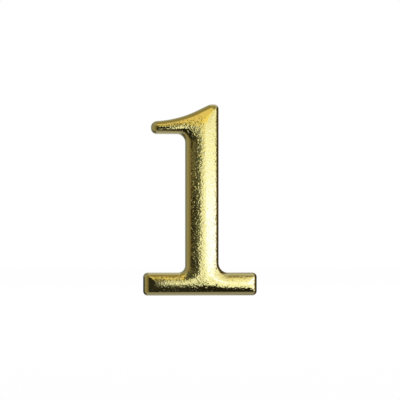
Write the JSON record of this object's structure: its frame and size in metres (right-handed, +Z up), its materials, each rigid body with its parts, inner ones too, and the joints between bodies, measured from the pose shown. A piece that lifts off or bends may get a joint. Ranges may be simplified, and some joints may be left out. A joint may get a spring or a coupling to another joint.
{
  "type": "house number",
  "caption": "Serif numeral one for a door or wall: a solid polished brass casting with a rounded rim, a crowned front and a flat back.",
  "frame": {"origin": "on the flat back, at the middle of the numeral's height and width, behind the stem", "axes": "+Z up the numeral, +X to the reader's right, +Y into the door: the front faces -Y and the flat back lies in the plane y = 0"},
  "size_m": [0.0454, 0.0051, 0.075],
  "materials": {
    "polished_brass": "polished, with a fine grain on the front and a smooth rim"
  },
  "bodies": {
    "root": {"numeral": "polished_brass"}
  },
  "joints": []
}
